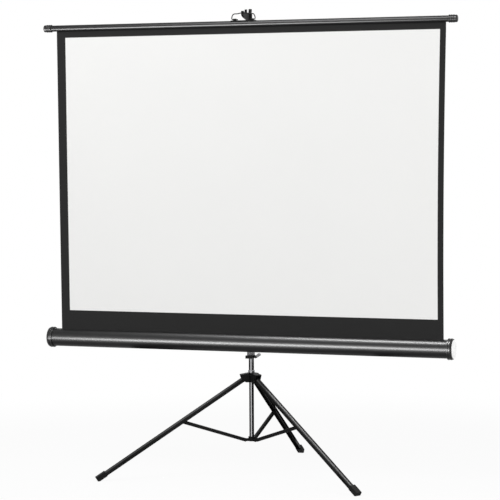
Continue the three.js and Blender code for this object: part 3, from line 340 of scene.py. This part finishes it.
class Paint:
    """The node tree of one material or of the world."""

    def __init__(self, owner):
        owner.use_nodes = True
        self.tree = owner.node_tree
        self.tree.nodes.clear()

    def node(self, kind, settings=None, sockets=None, output=0):
        """Adds a node, makes its settings, fills or links its sockets and returns an output."""
        made = self.tree.nodes.new(kind)
        for name, value in (settings or {}).items():
            setattr(made, name, value)
        for name, value in (sockets or {}).items():
            if isinstance(value, Term):
                self.tree.links.new(value.socket, made.inputs[name])
            else:
                made.inputs[name].default_value = value
        return Term(self, made.outputs[output]) if len(made.outputs) else made

    def place(self, scale=(1.0, 1.0, 1.0)):
        """Coordinates of the object's own frame, stretched along each axis."""
        return self.node("ShaderNodeMapping", {}, {
            "Vector": self.node("ShaderNodeTexCoord", {}, {}, "Object"),
            "Scale": scale,
        })

    def noise(self, where, scale, detail=3.0, roughness=0.5):
        return self.node("ShaderNodeTexNoise", {}, {
            "Vector": where, "Scale": scale, "Detail": detail, "Roughness": roughness,
        })

    def blend(self, factor, first, second):
        """A colour between two colours."""
        return self.node("ShaderNodeMix", {"data_type": "RGBA"}, {
            MIX_FACTOR: factor, MIX_FIRST: first, MIX_SECOND: second,
        }, MIX_COLOUR)

    def step(self, value, low, high, start=0.0, end=1.0):
        """Rises smoothly from start to end while value goes from low to high."""
        return self.node("ShaderNodeMapRange", {"interpolation_type": "SMOOTHSTEP"}, {
            "Value": value, "From Min": low, "From Max": high, "To Min": start, "To Max": end,
        })

    def bump(self, height, distance, strength=1.0, under=None):
        sockets = {"Height": height, "Distance": distance, "Strength": strength}
        if under is not None:
            sockets["Normal"] = under
        return self.node("ShaderNodeBump", {}, sockets)

    def surface(self, **sockets):
        """Ends the tree with one Principled shader."""
        named = {name.replace("_", " "): value for name, value in sockets.items()}
        shader = self.node("ShaderNodeBsdfPrincipled", {}, named)
        self.node("ShaderNodeOutputMaterial", {}, {"Surface": shader})


def rgba(colour, gain=1.0):
    return (*(min(1.0, channel * gain) for channel in colour), 1.0)


def new_material(name):
    material = bpy.data.materials.new(name)
    return material, Paint(material)


def gloss_paint(name, colour, along):
    """Black paint with a faint orange peel and hairlines along the tube."""
    material, paint = new_material(name)
    here = paint.place()
    peel = paint.noise(here, scale=700.0, detail=2.0)
    hairlines = paint.noise(paint.place(along), scale=1.0, detail=4.0, roughness=0.6)
    haze = paint.noise(here, scale=9.0)
    worn = paint.step(hairlines, low=0.62, high=0.74)
    colours = paint.blend(haze, rgba(colour, gain=0.85), rgba(colour, gain=1.25))
    paint.surface(
        Base_Color=paint.blend(worn * 0.15, colours, rgba(colour, gain=2.5)),
        Roughness=0.35 + haze * 0.03 + worn * 0.02,
        Specular_IOR_Level=0.11,
        Normal=paint.bump(peel, distance=0.00001, strength=0.1),
    )
    return material


def satin_paint(name, colour):
    """Powder coat on folded steel, with a fine grain."""
    material, paint = new_material(name)
    here = paint.place()
    grain = paint.noise(here, scale=1400.0, detail=2.0)
    haze = paint.noise(here, scale=14.0, detail=4.0)
    patches = paint.noise(here, scale=60.0, detail=5.0, roughness=0.65)
    rub = paint.step(patches, low=0.60, high=0.75)
    paint.surface(
        Base_Color=paint.blend(rub * 0.35, rgba(colour), rgba(colour, gain=2.6)),
        Roughness=0.42 + haze * 0.08 + rub * 0.06,
        Specular_IOR_Level=0.11,
        Normal=paint.bump(grain, distance=0.00002, strength=0.3),
    )
    return material


def moulded_plastic(name, colour, roughness, specular=0.16):
    """Moulded plastic with a spark-eroded grain and slight flow marks."""
    material, paint = new_material(name)
    here = paint.place()
    grain = paint.node("ShaderNodeTexVoronoi", {}, {"Vector": here, "Scale": 1800.0})
    flow = paint.noise(here, scale=35.0)
    paint.surface(
        Base_Color=paint.blend(flow, rgba(colour, gain=0.9), rgba(colour, gain=1.2)),
        Roughness=roughness + flow * 0.12,
        Specular_IOR_Level=specular,
        Normal=paint.bump(grain, distance=0.00003, strength=0.5),
    )
    return material


def boot_rubber(name, colour):
    """Matt rubber that has picked up dust near the floor."""
    material, paint = new_material(name)
    here = paint.place()
    height = paint.node("ShaderNodeSeparateXYZ", {}, {0: here}, "Z")
    mottle = paint.noise(here, scale=120.0, detail=5.0, roughness=0.6)
    pores = paint.noise(here, scale=900.0, detail=2.0)
    dust = paint.step(height, low=0.016, high=0.0) * paint.step(mottle, low=0.40, high=0.65)
    paint.surface(
        Base_Color=paint.blend(dust * 0.5, rgba(colour), rgba(colour, gain=5.0)),
        Roughness=0.62 + mottle * 0.25,
        Specular_IOR_Level=0.1,
        Normal=paint.bump(pores, distance=0.00005, strength=0.6),
    )
    return material


def drawn_steel(name, colour, along, roughness):
    """Plated steel with drawing lines along the given stretch."""
    material, paint = new_material(name)
    lines = paint.noise(paint.place(along), scale=1.0, detail=5.0, roughness=0.65)
    cloud = paint.noise(paint.place(), scale=18.0, detail=4.0)
    tone = lines * 0.6 + cloud * 0.4
    paint.surface(
        Base_Color=paint.blend(tone, rgba(colour, gain=0.75), rgba(colour, gain=1.25)),
        Metallic=1.0,
        Roughness=roughness + lines * 0.10 + cloud * 0.08,
        Normal=paint.bump(lines, distance=0.00001, strength=0.35),
    )
    return material


def zinc(name, colour):
    """Zinc plate with a soft spangle."""
    material, paint = new_material(name)
    here = paint.place()
    spangle = paint.node("ShaderNodeTexVoronoi", {"feature": "SMOOTH_F1"},
                         {"Vector": here, "Scale": 260.0, "Smoothness": 0.8})
    cloud = paint.noise(here, scale=90.0, detail=4.0)
    tone = spangle * 0.5 + cloud * 0.5
    paint.surface(
        Base_Color=paint.blend(tone, rgba(colour, gain=0.8), rgba(colour, gain=1.15)),
        Metallic=1.0,
        Roughness=0.27 + cloud * 0.14,
        Normal=paint.bump(cloud, distance=0.00002, strength=0.4),
    )
    return material


def seam_height(settings):
    """Where the viewing area ends and the sheet's head begins."""
    return BAR_LOW.z - settings.top_border


def sheet_face(name, settings):
    """Matt white coating with printed black borders, laid out in metres on the sheet's own map."""
    material, paint = new_material(name)
    flat = paint.node("ShaderNodeUVMap", {"uv_map": "sheet"})
    across = paint.node("ShaderNodeSeparateXYZ", {}, {0: flat}, "X")
    up = across.other("Y")
    left, right = SHEET_LOW.x + settings.left_border, SHEET_HIGH.x - settings.right_border
    foot, top = settings.image_foot, seam_height(settings)
    inside = paint.step(across, left - PRINT_EDGE, left + PRINT_EDGE)
    inside = inside * paint.step(across, right + PRINT_EDGE, right - PRINT_EDGE)
    inside = inside * paint.step(up, foot - PRINT_EDGE, foot + PRINT_EDGE)
    inside = inside * paint.step(up, top + PRINT_EDGE, top - PRINT_EDGE)
    beads = paint.noise(flat, scale=1100.0, detail=2.0)
    threads = paint.node("ShaderNodeMapping", {}, {"Vector": flat, "Scale": SHEET_WEAVE})
    weave = paint.noise(threads, scale=1.0, detail=2.0)
    cloud = paint.noise(flat, scale=3.0)
    white = paint.blend(cloud, rgba(settings.white, gain=0.985), rgba(settings.white, gain=1.01))
    black = paint.blend(beads, rgba(settings.black, gain=0.85), rgba(settings.black, gain=1.2))
    beaded = paint.bump(beads, distance=0.00004, strength=0.4)
    paint.surface(
        Base_Color=paint.blend(inside, black, white),
        Roughness=0.62 + inside * 0.28 + beads * 0.06,
        Specular_IOR_Level=0.1,
        Normal=paint.bump(weave, distance=0.00003, strength=0.35, under=beaded),
    )
    return material


def sheet_back(name, settings):
    """The dark coating on the back that keeps light from shining through."""
    material, paint = new_material(name)
    weave = paint.noise(paint.place(BACK_WEAVE), scale=1.0, detail=2.0)
    cloud = paint.noise(paint.place(), scale=4.0, detail=4.0)
    paint.surface(
        Base_Color=paint.blend(cloud, rgba(settings.black), rgba(settings.black, gain=1.6)),
        Roughness=0.66 + weave * 0.12,
        Specular_IOR_Level=0.25,
        Normal=paint.bump(weave, distance=0.00004, strength=0.5),
    )
    return material


def dress(names, material, edge=0.0):
    """Gives CAD nodes a finish, smooth round faces and, where edge is above 0, softened edges."""
    for name in names:
        node = NODES[name]
        node.data.materials.clear()
        node.data.materials.append(material)
        for face in node.data.polygons:
            face.material_index = 0
            face.use_smooth = True
        weld = node.modifiers.new("Weld", "WELD")
        weld.merge_threshold = WELD
        flat = node.modifiers.new("Flat faces", "DECIMATE")
        flat.decimate_type = "DISSOLVE"
        flat.angle_limit = FLAT_ANGLE
        if edge:
            soft = node.modifiers.new("Soft edges", "BEVEL")
            soft.width = edge
            soft.segments = EDGE_SEGMENTS
            soft.limit_method = "ANGLE"
            soft.angle_limit = EDGE_ANGLE
            soft.use_clamp_overlap = True
        else:
            split = node.modifiers.new("Sharp edges", "EDGE_SPLIT")
            split.split_angle = EDGE_ANGLE
        even = node.modifiers.new("Even shading", "WEIGHTED_NORMAL")
        even.keep_sharp = True


def new_piece(name, points, faces, materials, layout=None, face_slots=None):
    """A mesh object from points and faces, with a map in metres if layout gives one per point."""
    mesh = bpy.data.meshes.new(name)
    mesh.from_pydata([tuple(point) for point in points], [], faces)
    for material in materials:
        mesh.materials.append(material)
    if face_slots:
        mesh.polygons.foreach_set("material_index", face_slots)
    if layout:
        uv = mesh.uv_layers.new(name="sheet")
        for loop in mesh.loops:
            uv.data[loop.index].uv = layout[loop.vertex_index]
    mesh.update()
    piece = bpy.data.objects.new(name, mesh)
    bpy.context.scene.collection.objects.link(piece)
    return piece


def sweep_along_x(name, outline, half_length, columns, materials, slot_of=None, layout=None,
                  reach=1.0, drift=0.0):
    """A closed outline of (y, z) points carried along X in equal steps, with both ends closed.

    The layout keeps the half length; the piece itself is reach times as long and lies off by drift.
    """
    count = len(outline)
    points, faces, slots, flat = [], [], [], []
    for column in range(columns + 1):
        x = half_length * (2 * column / columns - 1)
        points += [(x * reach + drift, y, z) for y, z in outline]
        if layout:
            flat += [(x, v) for v in layout]
    for column in range(columns):
        for i in range(count):
            a, b = column * count + i, column * count + (i + 1) % count
            faces.append((a, b, b + count, a + count))
            slots.append(slot_of(i) if slot_of else 0)
    faces.append(tuple(reversed(range(count))))
    faces.append(tuple(range(columns * count, (columns + 1) * count)))
    slots += [0, 0]
    return new_piece(name, points, faces, materials, flat, slots)


class PROJECTION_OT_hang_sheet(Operator):
    """Hang the viewing sheet between the roller and the bar."""

    bl_idname = "projection.hang_sheet"
    bl_label = "Hang the sheet"

    def execute(self, context):
        settings = context.scene.projection_sheet
        face = sheet_face("sheet_face", settings)
        back = sheet_back("sheet_back", settings)
        self.hang_sheet(settings, face, back)
        self.hang_head(settings, face, back)
        return {"FINISHED"}

    @staticmethod
    def hang_sheet(settings, face, back):
        foot, seam = SHEET_LOW.z, seam_height(settings)
        half, depth = SHEET_HIGH.x, settings.thickness / 2
        columns, rows = settings.columns, settings.rows
        points, flat = [], []
        for side in (-1, 1):
            for row in range(rows + 1):
                rise = row / rows
                z = foot + (seam - foot) * rise
                slack = settings.ripple * math.sin(math.pi * rise) ** 2
                reach = 1 + (settings.flare - settings.waist * (1 - rise ** 2)) / half
                drift = settings.drift * (1 - DRIFT_DIP * math.sin(math.pi * rise))
                y = SHEET_Y + side * depth - settings.lead_off * (1 - rise)
                for column in range(columns + 1):
                    x = half * (2 * column / columns - 1)
                    wave = sum(height * math.sin(along * x + up * z + start)
                               for height, along, up, start in SHEET_WAVES)
                    points.append((x * reach + drift, y + slack * wave, z))
                    flat.append((x, z))
        across = columns + 1
        layer = across * (rows + 1)
        faces, slots = [], []
        for row in range(rows):
            for column in range(columns):
                a = row * across + column
                faces.append((a, a + 1, a + 1 + across, a + across))
                b = a + layer
                faces.append((b, b + across, b + across + 1, b + 1))
                slots += [0, 1]
        rim = list(range(columns))
        rim += [row * across + columns for row in range(rows)]
        rim += [rows * across + column for column in range(columns, 0, -1)]
        rim += [row * across for row in range(rows, 0, -1)]
        for a, b in zip(rim, rim[1:] + rim[:1]):
            faces.append((b, a, a + layer, b + layer))
            slots.append(1)
        sheet = new_piece("viewing_sheet", points, faces, [face, back], flat, slots)
        travel = next(j["range_m"][0] for j in frame["joints"] if j["name"] == "bar_travel")
        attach(sheet, "carriage")
        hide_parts("screen_fabric")
        1 + travel / (seam - foot)
        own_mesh(sheet)

    @staticmethod
    def hang_head(settings, face, back):
        """The head of the sheet: its top border, and the welt that lies in the bore of the bar."""
        depth = settings.thickness / 2
        seam = seam_height(settings)
        welt = (SHEET_HIGH.y - SHEET_LOW.y) / 2
        centre = SHEET_HIGH.z - welt
        neck = math.asin(depth / welt)
        outline = [(SHEET_Y - depth, seam), (SHEET_Y + depth, seam)]
        for i in range(WELT_STEPS + 1):
            angle = -math.pi / 2 + neck + (2 * math.pi - 2 * neck) * i / WELT_STEPS
            outline.append((SHEET_Y + welt * math.cos(angle), centre + welt * math.sin(angle)))
        heights = [z for _, z in outline]
        last = len(outline) - 1
        head = sweep_along_x("sheet_head", outline, SHEET_HIGH.x, settings.columns, [face, back],
                             lambda i: 0 if i == last else 1, heights,
                             1 + settings.flare / SHEET_HIGH.x, settings.drift)
        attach(head, "bar")


class PROJECTION_OT_wind_sheet(Operator):
    """Wind what is left of the sheet on the roller."""

    bl_idname = "projection.wind_sheet"
    bl_label = "Wind the roll"

    def execute(self, context):
        settings = context.scene.projection_sheet
        lead = CASE_AXIS.y - SHEET_Y
        steps = int(ROLL_STEPS * settings.turns)

        def layer(offset):
            points = []
            for i in range(steps + 1):
                turn = settings.turns * i / steps
                angle = math.pi + 2 * math.pi * turn
                radius = lead - settings.pitch * turn + offset
                points.append((CASE_AXIS.y + radius * math.cos(angle),
                               CASE_AXIS.z + radius * math.sin(angle)))
            return points

        outline = layer(settings.thickness / 2) + layer(-settings.thickness / 2)[::-1]
        roll = sweep_along_x("wound_sheet", outline, ROLL_HIGH.x, ROLL_COLUMNS,
                             [sheet_back("wound_sheet_coat", settings)])
        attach(roll, "roller")
        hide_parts("fabric_roll")
        return {"FINISHED"}


class PROJECTION_OT_finish_case(Operator):
    """Finish the case, its caps and its discs."""

    bl_idname = "projection.finish_case"
    bl_label = "Finish the case"

    def execute(self, context):
        colours = context.scene.projection_finish
        dress(["case_tube"], gloss_paint("case_paint", colours.case_paint, ALONG_X), FINE_EDGE)
        cap = moulded_plastic("case_cap_plastic", colours.moulding, roughness=0.3)
        dress([f"end_cap_{end}" for end in ENDS], cap, CAP_EDGE)
        disc = moulded_plastic("end_disc_plastic", colours.pale_plastic, roughness=0.38,
                               specular=0.4)
        dress([f"end_disc_{end}" for end in ENDS], disc, MOULD_EDGE)
        return {"FINISHED"}


class PROJECTION_OT_finish_roller(Operator):
    """Finish the roller and the spring inside it."""

    bl_idname = "projection.finish_roller"
    bl_label = "Finish the roller"

    def execute(self, context):
        colours = context.scene.projection_finish
        tube = drawn_steel("roller_steel", colours.dark_steel, ALONG_X, roughness=0.3)
        dress(["roller_tube"], tube)
        plug = moulded_plastic("roller_plug_plastic", colours.moulding, roughness=0.45)
        dress([f"roller_plug_{end}" for end in ENDS], plug, FINE_EDGE)
        dress(["roller_spring", "spring_shaft"], zinc("spring_zinc", colours.bright_steel))
        return {"FINISHED"}


class PROJECTION_OT_finish_bar(Operator):
    """Finish the top bar, its caps and the bail."""

    bl_idname = "projection.finish_bar"
    bl_label = "Finish the bar"

    def execute(self, context):
        colours = context.scene.projection_finish
        dress(["top_bar"], gloss_paint("bar_paint", colours.case_paint, ALONG_X), BAR_EDGE)
        cap = moulded_plastic("bar_cap_plastic", colours.moulding, roughness=0.3)
        dress([f"bar_cap_{end}" for end in ENDS], cap, FINE_EDGE)
        dress(["bail_saddle"], satin_paint("saddle_paint", colours.leg_paint), FINE_EDGE)
        dress(["bail"], satin_paint("bail_wire", colours.black_steel))
        return {"FINISHED"}


class PROJECTION_OT_finish_mast(Operator):
    """Finish the mast, its rods, its clamp and the hook."""

    bl_idname = "projection.finish_mast"
    bl_label = "Finish the mast"

    def execute(self, context):
        colours = context.scene.projection_finish
        tube = drawn_steel("mast_steel", colours.bright_steel, ALONG_Z, roughness=0.08)
        dress(["mast_tube", "extension_rod", "base_rod"], tube)
        ring = drawn_steel("ring_steel", colours.bright_steel, ALONG_Z, roughness=0.24)
        dress(["collar_ring"], ring, FINE_EDGE)
        clamp = moulded_plastic("clamp_plastic", colours.moulding, roughness=0.4)
        dress(["mast_clamp", "mast_clamp_knob"], clamp, MOULD_EDGE)
        hook = moulded_plastic("hook_plastic", colours.moulding, roughness=0.3, specular=0.05)
        dress(["hook_head"], hook, MOULD_EDGE)
        return {"FINISHED"}


class PROJECTION_OT_finish_tripod(Operator):
    """Finish the legs, braces, boots, pins, collar and hub."""

    bl_idname = "projection.finish_tripod"
    bl_label = "Finish the tripod"

    def execute(self, context):
        colours = context.scene.projection_finish
        paint = satin_paint("leg_paint", colours.leg_paint)
        dress([f"leg_{leg}" for leg in LEGS] + [f"brace_{leg}" for leg in LEGS], paint, FINE_EDGE)
        dress(["base_hub", "leg_collar"], paint, CAST_EDGE)
        dress([f"foot_{leg}" for leg in LEGS], boot_rubber("boot_rubber", colours.boot), BOOT_EDGE)
        pins = [f"leg_pin_{leg}" for leg in LEGS] + [f"brace_pin_{leg}" for leg in LEGS]
        dress(pins, satin_paint("pin_black", colours.leg_paint), FINE_EDGE)
        knob = moulded_plastic("knob_plastic", colours.moulding, roughness=0.42)
        dress(["collar_knob"], knob, CAP_EDGE)
        return {"FINISHED"}


class PROJECTION_OT_finish_carriage(Operator):
    """Finish the carriage, the cradle and the release lever."""

    bl_idname = "projection.finish_carriage"
    bl_label = "Finish the carriage"

    def execute(self, context):
        colours = context.scene.projection_finish
        sleeve = drawn_steel("sleeve_steel", colours.dark_steel, ALONG_Z, roughness=0.4)
        dress(["carriage_sleeve"], sleeve, CAST_EDGE)
        flange = moulded_plastic("flange_plastic", colours.moulding, roughness=0.4)
        dress(["carriage_flange"], flange, CAST_EDGE)
        dress(["case_cradle"], satin_paint("cradle_paint", colours.leg_paint), CAP_EDGE)
        steel = zinc("lever_zinc", colours.dark_steel)
        dress(["release_lever", "lever_pin", "pivot_bolt"], steel, CAP_EDGE)
        return {"FINISHED"}


class PROJECTION_OT_set_stage(Operator):
    """Set the camera, the lamps, the floor and the white background."""

    bl_idname = "projection.set_stage"
    bl_label = "Set the stage"

    def execute(self, context):
        settings = context.scene.projection_studio
        context.scene.view_settings.view_transform = "Standard"
        self.set_camera(context, settings)
        self.set_world(context, settings)
        self.set_floor(settings)
        for name, (start, end) in CARDS.items():
            self.set_card(name, settings, start, end)
        for name, lamp in LAMPS.items():
            self.add_lamp(context, name, lamp, getattr(settings, lamp.power))
        return {"FINISHED"}

    @staticmethod
    def keep_to_gloss_of(stand, names):
        """Lets a lamp show only as a reflection in the named nodes."""
        stand.visible_diffuse = False
        receivers = bpy.data.collections.new(f"{stand.name}_receivers")
        for name in names:
            receivers.objects.link(NODES[name])
        stand.light_linking.receiver_collection = receivers

    @staticmethod
    def set_camera(context, settings):
        lens = bpy.data.cameras.new("camera")
        lens.lens = settings.lens
        lens.sensor_width = SENSOR_MM
        lens.clip_end = CLIP_END
        camera = bpy.data.objects.new("camera", lens)
        turn = Matrix.Rotation(settings.yaw, 4, "Z")
        turn = turn @ Matrix.Rotation(math.pi / 2 - settings.pitch, 4, "X")
        turn = turn @ Matrix.Rotation(settings.roll, 4, "Z")
        camera.matrix_world = Matrix.Translation(settings.place) @ turn
        context.scene.collection.objects.link(camera)
        context.scene.camera = camera

    @staticmethod
    def seen(paint):
        """1 for rays that show the background, straight or in a reflection, and 0 for others."""
        camera = paint.node("ShaderNodeLightPath", {}, {}, "Is Camera Ray")
        return camera.at_least(camera.other("Is Glossy Ray")).at_least(
            camera.other("Is Transmission Ray"))

    def set_world(self, context, settings):
        world = bpy.data.worlds.new("studio")
        context.scene.world = world
        paint = Paint(world)
        light = paint.node("ShaderNodeBackground", {}, {
            "Color": WHITE, "Strength": settings.room_light})
        white = paint.node("ShaderNodeBackground", {}, {"Color": WHITE})
        both = paint.node("ShaderNodeMixShader", {}, {0: self.seen(paint), 1: light, 2: white})
        paint.node("ShaderNodeOutputWorld", {}, {"Surface": both})

    def set_floor(self, settings):
        angles = [2 * math.pi * i / FLOOR_SIDES for i in range(FLOOR_SIDES)]
        radius = settings.floor_radius
        ring = [(radius * math.cos(angle), radius * math.sin(angle), 0.0) for angle in angles]
        material, paint = new_material("floor_white")
        matt = paint.node("ShaderNodeBsdfDiffuse", {}, {"Color": rgba(settings.floor_white)})
        white = paint.node("ShaderNodeEmission", {}, {"Color": WHITE})
        here = paint.node("ShaderNodeTexCoord", {}, {}, "Object")
        away = paint.node("ShaderNodeVectorMath", {"operation": "LENGTH"}, {0: here}, "Value")
        fade = paint.step(away, settings.floor_fade / 2, settings.floor_fade,
                          start=settings.floor_lift, end=1.0)
        lift = self.seen(paint) * fade
        both = paint.node("ShaderNodeMixShader", {}, {0: lift, 1: matt, 2: white})
        paint.node("ShaderNodeOutputMaterial", {}, {"Surface": both})
        floor = new_piece("floor", ring, [tuple(range(FLOOR_SIDES))], [material])

    @staticmethod
    def set_card(name, settings, start, end):
        """A dark card round one side, which shows only as the dark edge of the bright tubes."""
        points = []
        for i in range(CARD_STEPS + 1):
            angle = math.radians(start + (end - start) * i / CARD_STEPS)
            x = MAST_AXIS.x + settings.card_radius * math.cos(angle)
            y = MAST_AXIS.y + settings.card_radius * math.sin(angle)
            points += [(x, y, 0.0), (x, y, settings.card_height)]
        faces = [(2 * i, 2 * i + 2, 2 * i + 3, 2 * i + 1) for i in range(CARD_STEPS)]
        material, paint = new_material(f"{name}_felt")
        felt = paint.noise(paint.place(), scale=400.0)
        paint.surface(Base_Color=paint.blend(felt, FELT_DARK, FELT_LIGHT),
                      Roughness=1.0, Specular_IOR_Level=0.0)
        card = new_piece(name, points, faces, [material])
        card.visible_camera = False
        card.visible_diffuse = False
        card.visible_shadow = False

    def add_lamp(self, context, name, lamp, power):
        light = bpy.data.lights.new(name, "AREA")
        light.energy = power
        light.shape = "RECTANGLE"
        light.size, light.size_y = lamp.size
        stand = bpy.data.objects.new(name, light)
        away = lamp.aim - Vector(lamp.place)
        stand.rotation_euler = away.to_track_quat("-Z", "Y").to_euler()
        stand.location = lamp.place
        stand.visible_camera = False
        stand.visible_glossy = lamp.gloss
        context.scene.collection.objects.link(stand)
        if lamp.shows_in:
            self.keep_to_gloss_of(stand, lamp.shows_in)


class PROJECTION_PT_screen(Panel):
    """Lists the steps and their settings."""

    bl_idname = "PROJECTION_PT_screen"
    bl_label = "Projection screen"
    bl_space_type = "VIEW_3D"
    bl_region_type = "UI"
    bl_category = "Screen"

    def draw(self, context):
        layout = self.layout
        for step in STEPS:
            layout.operator(step.bl_idname)
        for group in GROUPS:
            settings = getattr(context.scene, group)
            box = layout.box()
            for name in settings.__annotations__:
                box.prop(settings, name)


STEPS = (
    PROJECTION_OT_set_stage,
    PROJECTION_OT_hang_sheet,
    PROJECTION_OT_wind_sheet,
    PROJECTION_OT_finish_case,
    PROJECTION_OT_finish_roller,
    PROJECTION_OT_finish_bar,
    PROJECTION_OT_finish_mast,
    PROJECTION_OT_finish_tripod,
    PROJECTION_OT_finish_carriage,
)
GROUPS = {
    "projection_sheet": SheetSettings,
    "projection_finish": FinishSettings,
    "projection_studio": StudioSettings,
}
CLASSES = (*GROUPS.values(), *STEPS, PROJECTION_PT_screen)


def register():
    for cls in CLASSES:
        bpy.utils.register_class(cls)
    for name, group in GROUPS.items():
        setattr(bpy.types.Scene, name, PointerProperty(type=group))


def unregister():
    for name in GROUPS:
        delattr(bpy.types.Scene, name)
    for cls in reversed(CLASSES):
        bpy.utils.unregister_class(cls)


def main():
    register()
    for step in STEPS:
        group, name = step.bl_idname.split(".")
        getattr(getattr(bpy.ops, group), name)()


if __name__ == "__main__":
    main()
